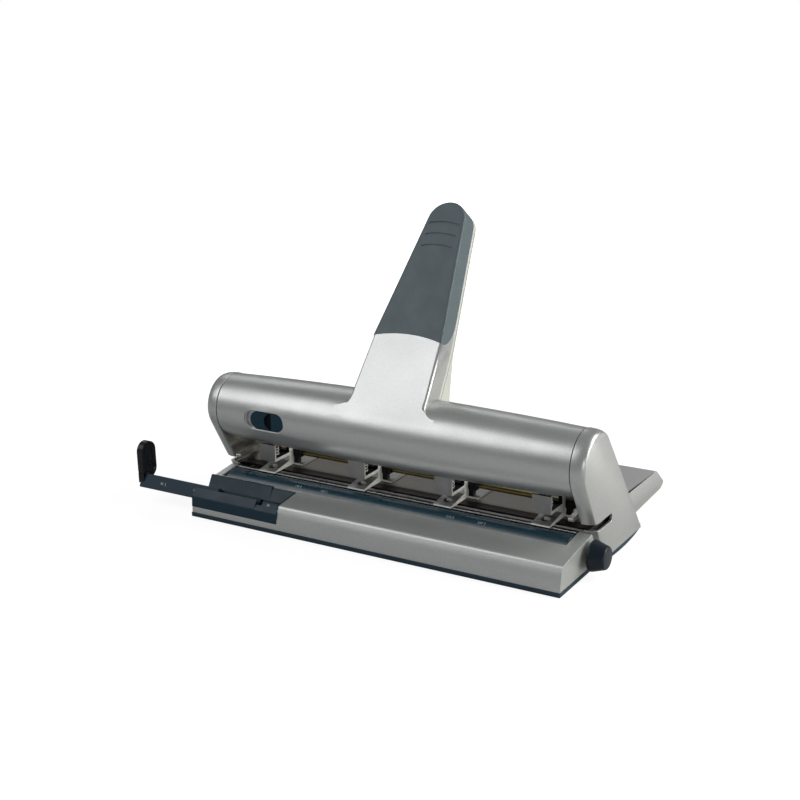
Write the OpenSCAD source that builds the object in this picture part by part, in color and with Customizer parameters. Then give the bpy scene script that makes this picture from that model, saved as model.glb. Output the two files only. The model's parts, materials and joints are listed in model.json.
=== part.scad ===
// Long-arm desk punch with four sliding punch heads.
// Millimetres. The origin is the middle of the base's underside on the desk,
// +X runs to the right, +Y to the back and +Z up.

/* [Base] */
// Width of the base rim, left to right
base_w = 317; // [305:1:335]
// Depth of the base rim, front to back
base_d = 143; // [140:1:150]
// Height of the top of the dark rim over the desk
rim_h = 3.6; // [3.2:0.1:4]
// Height of the table's front edge over the desk
table_front_h = 21.6; // [20:0.2:23]
// Height of the table at the scale drum over the desk
table_rear_h = 24.8; // [24:0.1:25.4]
// Thickness of the table's moulded wall
table_wall = 2; // [1.6:0.1:2.6]

/* [Cheeks] */
// Bulge of the base's ends under the cheeks, in plan
end_bulge = 3.5; // [3.3:0.1:3.7]
// Radius of the round top of a cheek
cheek_r = 25.2; // [25:0.1:26]
// Lean of a cheek's front edge from upright
front_slope = 29; // [28:0.5:30]
// Lean of a cheek's rear edge from upright
rear_slope = 36; // [35:0.2:38]
// Thickness of a side frame's steel plate
frame_t = 2.2; // [2:0.1:2.3]

/* [Tube and lever] */
// Height of the tube's axis over the desk
axis_h = 78.8; // [78.5:0.1:80]
// Distance of the tube's axis behind the base's front edge
axis_back = 53.8; // [53.5:0.1:54.5]
// Diameter of the tube at its ends
tube_end_d = 49.6; // [49.2:0.2:51]
// Diameter of the tube at its middle
tube_mid_d = 55.8; // [54:0.2:57]
// Lean of the lever behind upright at rest
lever_lean = 37; // [34:1:40]
// Swing of the lever from rest to the punched position
lever_swing = 60; // [56:1:62]
// Length of the lever from the tube's axis to its tip
lever_len = 178.2; // [165:0.5:190]
// Width of the lever over its round tip
lever_tip_w = 32.4; // [30:0.2:35]
// Width of the lever at the lower end of the grip
lever_grip_w = 58.8; // [56:0.2:61]
// Width of the lever over the tube
lever_root_w = 63.4; // [62:0.2:66]
// Thickness of the lever at the grip
lever_t = 24.5; // [22:0.1:26]

/* [Punching] */
// Diameter of the punched holes
punch_d = 5.5; // [5:0.1:6]
// Stroke of the punches
punch_stroke = 7; // [6.8:0.1:7.1]
// Distance of the punches behind the base's front edge
punch_back = 58; // [57.6:0.1:58.4]
// Distance between neighbouring punch heads
head_pitch = 80; // [76:0.5:80]
// Shift of the second head from its nominal place
second_shift = 4; // [0:0.5:8]
// Width of a punch head
head_w = 14.7; // [13.6:0.1:15.2]
// Height of the paper slit at its back
slit_h = 4.5; // [4.4:0.1:4.8]

/* [Scale drum] */
// Diameter of the scale drum
drum_d = 23.4; // [22:0.1:23.6]
// Height of the drum's axis over the desk
drum_h = 15.2; // [15.1:0.1:15.4]
// Distance of the drum's axis behind the base's front edge
drum_back = 45.5; // [45.2:0.1:45.8]
// Diameter of the drum's knob
knob_d = 23.2; // [22:0.1:24]
// Length of the drum's knob
knob_len = 12.3; // [10:0.1:15]

/* [Paper guide] */
// Distance of the guide's inner face from the middle
guide_out = 210; // [206:1:214]
// Travel of the guide
guide_travel = 40; // [36:1:40]
// Height of the guide's upright plate
paddle_h = 30.5; // [28:0.5:34]
// Width of the guide's upright plate
paddle_w = 16.2; // [15:0.2:18]
// Thickness of the guide's upright plate
paddle_t = 5.5; // [5:0.1:6.5]

/* [Chip tray] */
// Length of the chip tray behind the punches
tray_len = 148.5; // [140:0.5:155]
// Height of the chip tray's top over the desk
tray_h = 25; // [24:0.1:25.2]
// Travel of the chip tray that leaves its front on the base's ribs
tray_travel = 70; // [60:1:72]

/* [Hidden] */

// Overrun of a cut past the face it starts from
cut = 1;
// Facets of round parts
round_fn = 64;
fine_fn = 32;
arc_steps = 5;
bulge_steps = 12;
tip_steps = 12;
barrel_steps = 8;
// Running clearance beside parts that move past each other
run_gap = 0.4;
// Clearance of a cover beside its neighbour
seat_gap = 0.3;

// Places along Y and Z
front_y = -base_d / 2;
rear_y = base_d / 2;
axis_y = front_y + axis_back;
punch_y = front_y + punch_back;
drum_y = front_y + drum_back;
base_half = base_w / 2;

// End stack, from the cheek's outside inward
cheek_set = 7.2;
cheek_in = base_half - cheek_set;
cheek_out = base_half + end_bulge;
bulge_back = 51.5;
bulge_from = front_y + bulge_back;
cheek_wall = 2;
cheek_rim = 2;
frame_set = 1.8;
frame_out = base_half - frame_set;
frame_in = frame_out - frame_t;
cam_in = cheek_in + run_gap;
cam_out = frame_in - run_gap;
tube_gap = 0.6;
tube_half = cheek_in - tube_gap;

// Flat outer face of a cheek, against its round inner edge
face_up = 1.2;
face_r_loss = 4;
face_low_back = 73.5;
face_low_y = front_y + face_low_back;
face_turn = 4;
cheek_straight = 1;
cheek_slices = 4;
cheek_arc_steps = 18;
slice_t = 0.05;

// Base pan
pan_lift = 0.3;
pan_wall = 1.6;
pan_floor = pan_lift + pan_wall;
runner_x = 100;
runner_w = 4;
runner_len = 70;
foot_d = 16;
foot_h = 1.8;
foot_inset_x = 20;
foot_inset_y = 15;
foot_seat = 0.1;

// Table cover
cover_set = 0.6;
cover_end_set = 0.2;
cover_lean = 5.3;
cover_bulge = 0.8;
cover_round = 3;
slot_front = 13;
drum_left_set = 7;
drum_right_set = 11.5;
drum_left = base_half - drum_left_set;
drum_right = base_half - drum_right_set;
drum_end_gap = 0.8;

// Paper plane and the sheet parts that carry the heads
sheet_t = 1.6;
floor_top = 27.2;
floor_back = 123.5;
floor_tab_back = 117.5;
floor_rear = front_y + floor_back;
floor_tab_rear = front_y + floor_tab_back;
floor_half = cheek_in - seat_gap;
floor_lip_h = 5;
rail_sheet_t = 1.2;
chip_slot_front = 3.1;
chip_slot_rear = 3.3;
lip_depth = 3.6;
chute_drop = 13.7;
chute_back = 6.3;
slot_low = 29.2;
slot_high = 35;
slot_end_back = 79.5;
slot_back = front_y + slot_end_back;
slot_end_share = 0.45;

// Side frame
flange_w = 9.5;
flange_back = 79.5;
flange_len = 50;
flange_front = front_y + flange_back;
flange_rear = flange_front + flange_len;
bush_d = 12;
bush_wall = 2;
bush_head = 0.3;
journal_d = bush_d - 2 * bush_wall;
journal_gap = 0.05;
screw_d = 4;
screw_head_d = 7;
screw_head_h = 1.2;

// Guide rail of the heads and tie rod of the frames
rail_d = 4.2;
rail_back = 80;
rail_y = front_y + rail_back;
rail_z = 36.6;
rail_gap = 0.05;
tie_d = 7;
tie_back = 89;
tie_y = front_y + tie_back;
tie_z = 62;

// Tube, shaft and hubs
tube_bore = 46.4;
shaft_d = 12;
shaft_gap = 0.05;
hub_t = 4;
hub_set = 3;
hub_gap = 0.05;
hub_d = tube_bore - 2 * hub_gap;
hub_hole_d = 8;
hub_holes = 5;
hub_hole_share = 0.65;

// Cam: an involute that moves a flat follower by the same amount for each degree
cam_rate = punch_stroke / (lever_swing * PI / 180);
cam_low = 14;
cam_hub_d = 18;
cam_lead = 4;
cam_steps = 16;
cam_gap = 0.3;

// Press bar, its guide columns and the arms under the cams
bar_back = 78.5;
bar_front = front_y + bar_back;
bar_depth = 7;
bar_low = 50;
bar_high = 57.6;
column_set = 13.5;
column_x = base_half - column_set;
column_d = 5;
column_top = 63;
column_gap = 0.05;
bracket_w = 10;
rail_boss_d = 7.4;
rail_half = column_x - column_d / 2 - run_gap;
bracket_top = 42.5;
bracket_foot_t = 2;
bracket_foot_rear = 8;
finger_t = 4;
finger_low = 36.6;
finger_tip_back = 45.5;
finger_tip_y = front_y + finger_tip_back;
finger_tip_h = 3;
finger_round = 1;
arm_pad_half = 3;
arm_pad_h = 7;
arm_neck = 8.5;
arm_drop = 3;

// Punch heads
tongue_back = 49.1;
tongue_t = 1.2;
slit_back = 70;
block_back = 50.8;
head_rear = 75.3;
head_floor_gap = 0.3;
jaw_low = 36.5;
jaw_t = 2.4;
front_wall_t = 1.6;
head_top = 50.2;
rear_wall_top = 49.4;
head_round = 3;
die_relief = 0.8;
die_land = 1.6;
bore_gap = 0.05;
notch_gap = 0.4;
carriage_t = 1.5;
carriage_back = 101.5;
carriage_rear = front_y + carriage_back;
carriage_right = 17;
punch_set = 0.5;
yoke_w = 7.8;
yoke_t = 2;
yoke_front = 4;
hook_wall = 1.5;
hook_round = 0.7;
clip_w = 10;
clip_over = 3;
clip_depth = 9.2;
clip_low = 33.8;
clip_high = 40.6;
clip_leg_w = 4;
clip_leg_x = 7.8;
clip_gap = 0.35;
wire_d = 0.55;
coil_d = 7.6;
coil_turns = 4;
coil_rings = 8;
coil_sides = 6;
seat_depth = 0.9;

// Drum shaft and knob
drum_shaft_d = 6;
drum_bore_gap = 0.05;
knob_gap = 3;
knob_x = base_half + knob_gap;
knob_small_share = 0.7;
knob_lip = 1.5;
drum_stub = 1.5;

// Paper guide
housing_in = 77.5;
housing_low = 8.2;
housing_set = 1;
housing_rear_in = 28.9;
housing_rear_h = 26;
ridge_in = 8.6;
ridge_h = 25.3;
ridge_face_in = 1.6;
ridge_face_h = 16;
valley_in = 19.5;
valley_h = 16;
valley_wall_in = 27.2;
step_down = 2.6;
sleeve_in = 98.6;
gauge_in = 93.5;
gauge_wall = 1.6;
housing_round = 2;
bar_w = 11.5;
bar_t = 4.5;
bar_lean = 25;
bar_in_y = 7.5;
bar_mid_z = 18.5;
bar_play = 0.35;
bar_end_in = 1.6;
bar_stop_gap = 2.5;
bar_inner_x = gauge_in + guide_travel + bar_stop_gap;
paddle_low = 19.5;
paddle_in_y = 13;
paddle_neck = 8;
paddle_foot = 17;

// Lock slide on the tube
lock_x = 104.4;
lock_down = 0.8;
lock_w = 37.5;
lock_h = 17;
lock_set = 1.2;
bezel_wall = 1.2;
bezel_depth = 5;
slider_w = 31;
slider_t = 2;
slider_gap = 0.15;
slider_play = 0.2;
moon_r = 6.6;
moon_depth = 1.3;
moon_out = 4;

// Lever mouldings, measured from the front face of the lever
lever_front = 27.6;
lever_wall = 2.2;
lever_part = 17.5;
tip_r = lever_tip_w / 2;
tip_s = lever_len - tip_r;
grip_s = 62;
root_s = 20;
root_flare_r = 11;
root_flare_s = 15.5;
root_low_s = -3;
root_back_s = 30;
root_back_t = 36.5;
root_end_t = 38;
root_end_s = 16;
pad_low_s = 63;
pad_side_h = 26;
pad_side_steps = 8;
pad_arc_h = 4;
groove_set = 21;
groove_s = tip_s - groove_set;
groove_pitch = 9.7;
groove_w = 26;
groove_t = 1.4;
groove_arc_r = 56;
groove_d = 0.7;
core_w = 18;
core_t = 5;
core_front = 4;
core_top_set = 12;
core_top_s = tip_s - core_top_set;
core_hub_d = 22;
core_low_s = -2;
core_web_half = 5.5;

// Chip tray
tray_half = cheek_in - run_gap;
tray_low = 5.2;
tray_wall = 1.8;
tray_front = 3.9;
tray_lip_h = 12;
tray_open_len = 68;
tray_hold = 20;
tray_flat_len = tray_travel + tray_hold;
tray_rise = 3.4;
tray_side_in = 3;
tray_side_low_in = 2;
tray_nose = 4;
tray_nose_back = 9;
tray_ledge = 2;
lid_t = 1;
lid_in = 3.4;

// Points of a rounded outline
function unit(v) = v / norm(v);
function turn(a) = a > 180 ? a - 360 : (a < -180 ? a + 360 : a);
function bend(a, b, c, r) =
    let (u = unit(a - b), w = unit(c - b), half = acos(u * w) / 2)
    let (mid = b + unit(u + w) * r / sin(half))
    let (p = b + u * r / tan(half) - mid, q = b + w * r / tan(half) - mid)
    let (from = atan2(p[1], p[0]), sweep = turn(atan2(q[1], q[0]) - from))
    [for (k = [0:arc_steps]) mid + r * [cos(from + sweep * k / arc_steps), sin(from + sweep * k / arc_steps)]];
function rounded(points, radii) =
    let (n = len(points))
    [for (i = [0:n - 1]) each (radii[i] == 0 ? [points[i]]
        : bend(points[(i + n - 1) % n], points[i], points[(i + 1) % n], radii[i]))];

// A profile in Y and Z, run along X from one place to another
module along_x(from, to) {
    translate([from, 0, 0]) rotate([90, 0, 90]) linear_extrude(to - from) children();
}

// A profile in X and Z, run along Y from one place to another
module along_y(from, to) {
    translate([0, to, 0]) rotate([90, 0, 0]) linear_extrude(to - from) children();
}

// A box between two corners
module box(low, high) {
    translate(low) cube(high - low);
}

// A rod along X
module rod_x(from, to, d, y, z, fn = round_fn) {
    translate([from, y, z]) rotate([0, 90, 0]) cylinder(h = to - from, d = d, $fn = fn);
}

// The left and right copies of an end part
module side(which) {
    mirror([which < 0 ? 1 : 0, 0, 0]) children();
}

// Outline of an end cheek: a round top with two straight edges that leave it at a tangent
function cheek_points(c_z, r, low) =
    let (front_n = 180 + front_slope)
    let (front_t = (c_z + r * sin(front_n) - low) / cos(front_slope))
    let (rear_t = (c_z + r * sin(rear_slope) - low) / cos(rear_slope))
    concat([for (k = [0:cheek_arc_steps])
        let (a = rear_slope + (front_n - rear_slope) * k / cheek_arc_steps)
            [axis_y + r * cos(a), c_z + r * sin(a)]], [
        [axis_y + r * cos(front_n) + front_t * sin(front_slope), low],
        [axis_y + r * cos(rear_slope) + rear_t * sin(rear_slope), low]]);

// Cheek outline part of the way from its inner edge (0) to its outer face (1)
module cheek_step(blend, inset, low) {
    polygon(cheek_points(axis_h + face_up * blend, cheek_r - inset - face_r_loss * blend, low));
}

// Flat outer face of a cheek, which draws back from the front edge towards the desk
module cheek_face(inset, low) {
    r = cheek_r - inset - face_r_loss;
    c_z = axis_h + face_up;
    rear_t = (c_z + r * sin(rear_slope) - low) / cos(rear_slope);
    polygon(concat([for (k = [0:cheek_arc_steps])
        let (a = rear_slope + (180 + face_turn - rear_slope) * k / cheek_arc_steps)
            [axis_y + r * cos(a), c_z + r * sin(a)]], [
        [face_low_y + inset, low],
        [axis_y + r * cos(rear_slope) + rear_t * sin(rear_slope), low]]));
}

// Body of a right-hand cheek with its outer edge rolled over in a quarter ellipse
module cheek_body(inset, from, to, low) {
    x_soft = cheek_in + cheek_straight;
    hull() {
        translate([from, 0, 0]) along_x(0, slice_t) cheek_step(0, inset, low);
        for (k = [0:cheek_slices - 1]) {
            a = 90 * k / cheek_slices;
            translate([x_soft + (to - x_soft - slice_t) * sin(a), 0, 0]) along_x(0, slice_t)
                cheek_step(1 - cos(a), inset, low);
        }
        translate([to - slice_t, 0, 0]) along_x(0, slice_t) cheek_face(inset, low);
    }
}

module cheek(which) {
    color("silver") side(which) difference() {
        cheek_body(0, cheek_in, cheek_out, rim_h);
        cheek_body(cheek_rim, cheek_in - cut, cheek_out - cheek_wall, rim_h - cut);
        paper_slot();
    }
}

// Slot through the cheek and the frame for sheets wider than the machine, open to the front
module paper_slot() {
    slot_h = slot_high - slot_low;
    along_x(cheek_in - cut, cheek_out + cut) polygon(rounded([
        [front_y, slot_low], [slot_back, slot_low], [slot_back, slot_high], [front_y, slot_high]],
        [0, slot_h * slot_end_share, slot_h * slot_end_share, 0]));
}

// The base seen from above: its two ends bulge a little under the cheeks
module base_plan(inset) {
    half = base_half - inset;
    right = concat([[half, front_y + inset]],
        [for (k = [0:bulge_steps]) let (t = k / bulge_steps)
            [half + 4 * end_bulge * t * (1 - t), bulge_from + (rear_y - inset - bulge_from) * t]]);
    n = len(right);
    polygon(concat(right, [for (k = [1:n]) [-right[n - k][0], right[n - k][1]]]));
}

// Base pan with its low rim and the two ribs that the chip tray runs on
module base_pan() {
    color("darkslategray") difference() {
        union() {
            difference() {
                translate([0, 0, pan_lift]) linear_extrude(rim_h - pan_lift) base_plan(0);
                translate([0, 0, pan_floor]) linear_extrude(rim_h) base_plan(pan_wall);
                box([-tray_half - run_gap, 0, pan_floor], [tray_half + run_gap, rear_y + cut, rim_h + cut]);
            }
            for (s = [-1, 1])
                box([s * runner_x - runner_w / 2, rear_y - runner_len, pan_floor - pan_wall / 2],
                    [s * runner_x + runner_w / 2, rear_y, tray_low - seat_gap]);
        }
        feet_places() cylinder(h = foot_h, d = foot_d + foot_seat, $fn = round_fn);
        screw_places() {
            cylinder(h = rim_h + cut, d = screw_d + foot_seat, $fn = fine_fn);
            cylinder(h = pan_lift + screw_head_h / 2, d = screw_head_d + foot_seat, $fn = fine_fn);
        }
    }
}

module feet_places() {
    for (x = [-1, 1], y = [-1, 1])
        translate([x * (base_half - foot_inset_x), y * (rear_y - foot_inset_y), 0]) children();
}

module rubber_feet() {
    color("dimgray") feet_places() cylinder(h = foot_h, d = foot_d, $fn = round_fn);
}

// Screw places under the side frames' flanges
module screw_places() {
    screw_x = frame_in - flange_w / 2 + frame_t / 2;
    for (x = [-1, 1], y = [flange_front + screw_head_d, flange_rear - screw_head_d])
        translate([x * screw_x, y, 0]) children();
}

module base_screws() {
    color("silver") screw_places() translate([0, 0, pan_lift / 2]) {
        cylinder(h = screw_head_h / 2 + pan_lift / 2, d = screw_head_d, $fn = fine_fn);
        cylinder(h = pan_floor + frame_t - pan_lift / 2, d = screw_d, $fn = fine_fn);
    }
}

// Outline of the table cover, drawn in by a wall
function cover_points(inset) =
    let (low = inset > 0 ? rim_h - cut : rim_h)
    let (y0 = front_y + cover_set + inset, y1 = front_y + cover_lean + inset)
    let (top = table_front_h - inset, rear_top = table_top(slot_y()) - inset)
    let (corner = bend([y0, rim_h], [y1, top], [slot_y(), rear_top], cover_round))
    let (end_y = cheek_front(table_top(axis_y)) - inset)
    concat([[y0, low]],
        [for (k = [1:arc_steps - 1]) let (t = k / arc_steps)
            [y0 + (y1 - y0) * t - cover_bulge * 4 * t * (1 - t), rim_h + (top - rim_h) * t]],
        corner,
        [[end_y, table_top(end_y) - inset], [cheek_front(low) - inset, low]]);
// Height of the table's sloping top at a place along Y
function table_top(y) = table_front_h
    + (table_rear_h - table_front_h) * (y - front_y - cover_lean) / (slot_y() - front_y - cover_lean);
// Front edge of the opening over the drum
function slot_y() = drum_y - slot_front;
// Front edge of the cheeks' inner outline at a height, less the seat gap
function cheek_front(z) = axis_y
    - (cheek_r + seat_gap + (z - axis_h) * sin(front_slope)) / cos(front_slope);

module table_cover() {
    color("silver") difference() {
        along_x(cover_end_set - base_half, base_half - cover_end_set) polygon(cover_points(0));
        along_x(-drum_left - drum_end_gap, drum_right + drum_end_gap) polygon(cover_points(table_wall));
        box([-drum_left - drum_end_gap, slot_y(), 0], [drum_right + drum_end_gap, rear_y, axis_h]);
        rod_x(-cheek_out, cheek_out, drum_shaft_d + 2 * drum_bore_gap, drum_y, drum_h);
        box([-tray_half - run_gap, punch_y + tray_front - run_gap, rim_h - cut],
            [tray_half + run_gap, rear_y, axis_h]);
        guide_pocket();
    }
}

// Pocket at the table's left front corner for the guide's housing
module guide_pocket() {
    box([-cheek_out - cut, front_y - cut, housing_low],
        [-housing_in, front_y + housing_rear_in, axis_h]);
}

// Bent sheet behind the drum: a lip that the heads' tongues rest on, then the chip chute
module front_rail() {
    lip_y = punch_y - chip_slot_front;
    chute_y = lip_y + chute_back;
    chute_z = floor_top - chute_drop;
    slope = unit([chute_back, -chute_drop]);
    off = [-slope[1], slope[0]] * rail_sheet_t;
    color("gainsboro") along_x(-drum_left, drum_right) polygon([
        [lip_y - lip_depth, floor_top], [lip_y, floor_top], [chute_y, chute_z],
        [chute_y, pan_floor], [chute_y - rail_sheet_t, pan_floor], [chute_y - rail_sheet_t, chute_z],
        [lip_y - off[0], floor_top - rail_sheet_t], [lip_y - lip_depth, floor_top - rail_sheet_t]]);
}

// Steel floor that the heads and the paper lie on, with its rear edge turned up
module floor_plate() {
    floor_front = punch_y + chip_slot_rear;
    color("lightgray") difference() {
        union() {
            box([-frame_in, floor_front, floor_top - sheet_t], [frame_in, floor_tab_rear, floor_top]);
            box([-floor_half, floor_front, floor_top - sheet_t], [floor_half, floor_rear, floor_top]);
            box([-floor_half, floor_rear - sheet_t, floor_top - sheet_t],
                [floor_half, floor_rear, floor_top + floor_lip_h]);
        }
        for (s = [-1, 1]) translate([s * column_x, bar_front + bar_depth / 2, 0])
            cylinder(h = axis_h, d = column_d + 2 * column_gap, $fn = round_fn);
    }
}

module guide_rail() {
    color("goldenrod") rod_x(-rail_half, rail_half, rail_d, rail_y, rail_z);
}

module tie_rod() {
    color("lightgray") rod_x(-frame_in, frame_in, tie_d, tie_y, tie_z);
}

// How far the hollow of the cheek has closed in at the frame's outer face
frame_blend = 1 - sqrt(1 - pow((frame_out - cheek_in - cheek_straight)
    / (cheek_out - cheek_wall - cheek_in - cheek_straight), 2));

// Side frame: a plate inside the cheek with a flange turned in over the base pan
module frame(which) {
    color("lightgray") side(which) difference() {
        union() {
            along_x(frame_in, frame_out) cheek_step(frame_blend, cheek_rim + seat_gap, pan_floor);
            box([frame_in - flange_w + frame_t, flange_front, pan_floor],
                [frame_out, flange_rear, pan_floor + frame_t]);
        }
        paper_slot();
        rod_x(cheek_in, base_half, bush_d, axis_y, axis_h);
        screw_places() cylinder(h = rim_h + frame_t, d = screw_d, $fn = fine_fn);
    }
}

module shaft_bushes() {
    color("peru") for (s = [-1, 1]) side(s) difference() {
        rod_x(frame_in - bush_head, frame_out, bush_d, axis_y, axis_h);
        rod_x(cheek_in, base_half, journal_d + 2 * journal_gap, axis_y, axis_h);
    }
}

// Bracket of a guide column: it holds the rail's end and a finger that keeps a sheet's edge down
module column_bracket(which) {
    col_y = bar_front + bar_depth / 2;
    color("dimgray") side(which) difference() {
        union() {
            translate([column_x, col_y, floor_top])
                cylinder(h = bracket_top - floor_top, d = bracket_w, $fn = round_fn);
            box([column_x - bracket_w / 2, col_y, floor_top],
                [column_x + bracket_w / 2, col_y + bracket_foot_rear, floor_top + bracket_foot_t]);
            rod_x(column_x - bracket_w / 2, column_x, rail_boss_d, rail_y, rail_z);
            along_x(column_x - finger_t / 2, column_x + finger_t / 2) polygon(rounded([
                [finger_tip_y, finger_low], [col_y, finger_low], [col_y, bracket_top],
                [col_y - bracket_w / 2, bracket_top], [finger_tip_y, finger_low + finger_tip_h]],
                [finger_round, 0, 0, finger_tip_h, finger_round]));
        }
        translate([column_x, col_y, 0])
            cylinder(h = axis_h, d = column_d + 2 * column_gap, $fn = round_fn);
        rod_x(0, rail_half, rail_d + 2 * rail_gap, rail_y, rail_z);
    }
}

module guide_columns() {
    color("gainsboro") for (s = [-1, 1])
        translate([s * column_x, bar_front + bar_depth / 2, floor_top - sheet_t])
            cylinder(h = column_top - floor_top + sheet_t, d = column_d, $fn = round_fn);
}

// Housing of the paper guide: a ridge that its bar slides in, a valley and a rear wall
function housing_points(down) = rounded([
    [front_y + housing_set, housing_low], [front_y + ridge_face_in, ridge_face_h],
    [front_y + ridge_in, ridge_h - down], [front_y + valley_in - housing_round, valley_h],
    [front_y + valley_in + housing_round, valley_h], [front_y + valley_wall_in, housing_rear_h - down / 2],
    [front_y + housing_rear_in, housing_rear_h - down / 2], [front_y + housing_rear_in, housing_low]],
    [0, 2 * housing_round, housing_round, housing_round, housing_round, 0, 0, 0]);

module guide_housing() {
    color("darkslategray") difference() {
        union() {
            along_x(-base_half, -housing_in) polygon(housing_points(step_down));
            along_x(-base_half, -sleeve_in) polygon(housing_points(0));
            along_x(-housing_in - gauge_wall, -housing_in) polygon(rounded([
                [front_y + housing_set, housing_low],
                [front_y + cover_lean, table_front_h],
                [front_y + housing_rear_in, table_top(front_y + housing_rear_in)],
                [front_y + housing_rear_in, housing_low]], [0, cover_round, 0, 0]));
        }
        along_x(-cheek_out - cut, -gauge_in) bar_section(bar_play);
        along_x(-sleeve_in, -gauge_in) translate([front_y + bar_in_y, bar_mid_z]) rotate(-bar_lean)
            translate([-valley_in / 2, 0]) square([valley_in, bar_w]);
    }
}

module bar_section(play) {
    translate([front_y + bar_in_y, bar_mid_z]) rotate(-bar_lean)
        translate([-bar_t / 2 - play, -bar_w / 2 - play]) square([bar_t + 2 * play, bar_w + 2 * play]);
}

module guide_bar() {
    color("darkslategray") along_x(-guide_out - paddle_t + bar_end_in, -bar_inner_x) bar_section(0);
}

// Upright plate of the paper guide, a stadium with a foot that wraps the bar's end
module guide_paddle() {
    paddle_y = front_y + paddle_in_y;
    color("black") difference() {
        along_x(-guide_out - paddle_t, -guide_out) {
            translate([paddle_y, paddle_low + paddle_w / 2]) circle(d = paddle_w, $fn = round_fn);
            translate([paddle_y, paddle_low + paddle_h - paddle_w / 2]) circle(d = paddle_w, $fn = round_fn);
            translate([paddle_y - paddle_w / 2, paddle_low + paddle_w / 2])
                square([paddle_w, paddle_h - paddle_w]);
            translate([paddle_y - paddle_w / 2, paddle_foot]) square([paddle_neck, paddle_w / 2]);
        }
        along_x(-guide_out - paddle_t + bar_end_in, -guide_out + cut) bar_section(0);
    }
}

// Barrel-shaped solid about the tube's axis
module barrel(extra) {
    sagitta = (tube_mid_d - tube_end_d) / 2;
    rotate([0, 90, 0]) rotate_extrude($fn = round_fn) polygon(concat([[0, -tube_half]],
        [for (k = [-barrel_steps:barrel_steps]) let (t = k / barrel_steps)
            [tube_end_d / 2 + sagitta * (1 - t * t) + extra, tube_half * t]], [[0, tube_half]]));
}

// The lever's own frame: Z along the lever, Y from its front face to its back
module on_lever() {
    translate([0, axis_y, axis_h]) rotate([-lever_lean, 0, 0]) children();
}

// Outline of the lever seen from the front, drawn in by a wall
module lever_outline(inset) {
    r = tip_r - inset;
    grip = lever_grip_w / 2 - inset;
    root = lever_root_w / 2 - inset;
    flare = inset == 0 ? root_flare_r : 0;
    rise = tip_s - grip_s;
    lean = acos(r / norm([grip, rise])) - atan2(rise, grip);
    low = [for (k = [0:arc_steps]) let (a = 90 * k / arc_steps)
        [root + flare * (1 - sin(a)), root_flare_s - flare * cos(a)]];
    right = concat([[root + flare, root_low_s]], inset == 0 ? low : [], [[root, root_s], [grip, grip_s]],
        [for (k = [0:tip_steps]) let (a = lean + (90 - lean) * k / tip_steps)
            [r * cos(a), tip_s + r * sin(a)]]);
    n = len(right);
    polygon(concat(right, [for (k = [2:n]) [-right[n - k][0], right[n - k][1]]]));
}

// The lever's outline run from one depth to another behind its front face
module lever_slab(from, to, inset) {
    translate([0, to - lever_front, 0]) rotate([90, 0, 0])
        linear_extrude(to - from) lever_outline(inset);
}

// Side profile of the lever: a straight back that swells towards the tube
module lever_side(inset, half) {
    along_x(-half, half) translate([-lever_front, 0]) polygon([
        [inset, root_low_s - cut], [inset, lever_len + cut], [lever_t - inset, lever_len + cut],
        [lever_t - inset, grip_s], [root_back_t - inset, root_back_s], [root_end_t - inset, root_end_s],
        [root_end_t - inset, root_low_s - cut]]);
}

// Part of the lever that the grip pad covers: an arc in front, a quarter ellipse at the sides
module pad_zone() {
    arc_r = (pow(lever_grip_w / 2, 2) + pow(pad_arc_h, 2)) / (2 * pad_arc_h);
    difference() {
        along_x(-lever_root_w, lever_root_w) translate([-lever_front, pad_low_s]) polygon(concat(
            [[-cut, lever_len], [-cut, 0]],
            [for (k = [0:pad_side_steps]) let (a = 90 * k / pad_side_steps)
                [lever_part * sin(a), pad_side_h * (1 - cos(a))]],
            [[lever_part + cut, pad_side_h], [lever_part + cut, lever_len]]));
        translate([0, lever_len, pad_low_s + pad_arc_h - arc_r]) rotate([90, 0, 0])
            cylinder(h = 2 * lever_len, r = arc_r, $fn = 4 * round_fn);
    }
}

// Tube and lower part of the lever, moulded as one cover
module tube_cover() {
    color("silver") {
        difference() {
            translate([0, axis_y, axis_h]) barrel(0);
            tube_hollow();
            lock_slab(lock_w, lock_h, -bezel_depth, 2 * bezel_depth);
        }
        difference() {
            on_lever() difference() {
                intersection() {
                    lever_slab(0, lever_part, 0);
                    box([-lever_root_w, -lever_front, root_low_s],
                        [lever_root_w, 0, pad_low_s + pad_side_h]);
                }
                pad_zone();
            }
            tube_hollow();
        }
    }
}

// Bore of the tube and the hollow of the lever that opens into it
module tube_hollow() {
    rod_x(-base_half, base_half, tube_bore, axis_y, axis_h);
    on_lever() translate([0, lever_wall, 0]) lever_slab(0, 2 * lever_part, lever_wall);
}

// Front of the tube at the lock slide
lock_face_y = axis_y - tube_end_d / 2 - (tube_mid_d - tube_end_d) / 2 * (1 - pow(lock_x / tube_half, 2));

// A stadium cut or plate at the lock, between two depths behind the tube's front
module lock_slab(w, h, from, to) {
    translate([-lock_x, lock_face_y + to, axis_h - lock_down]) rotate([90, 0, 0]) linear_extrude(to - from)
        stadium(w, h);
}

module stadium(w, h) {
    square([w - h, h], center = true);
    for (s = [-1, 1]) translate([s * (w - h) / 2, 0]) circle(d = h, $fn = round_fn);
}

module lock_bezel() {
    color("darkslategray") difference() {
        lock_slab(lock_w, lock_h, lock_set, bezel_depth);
        lock_slab(lock_w - 2 * bezel_wall, lock_h - 2 * bezel_wall, 0, bezel_depth - bezel_wall);
    }
}

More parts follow.
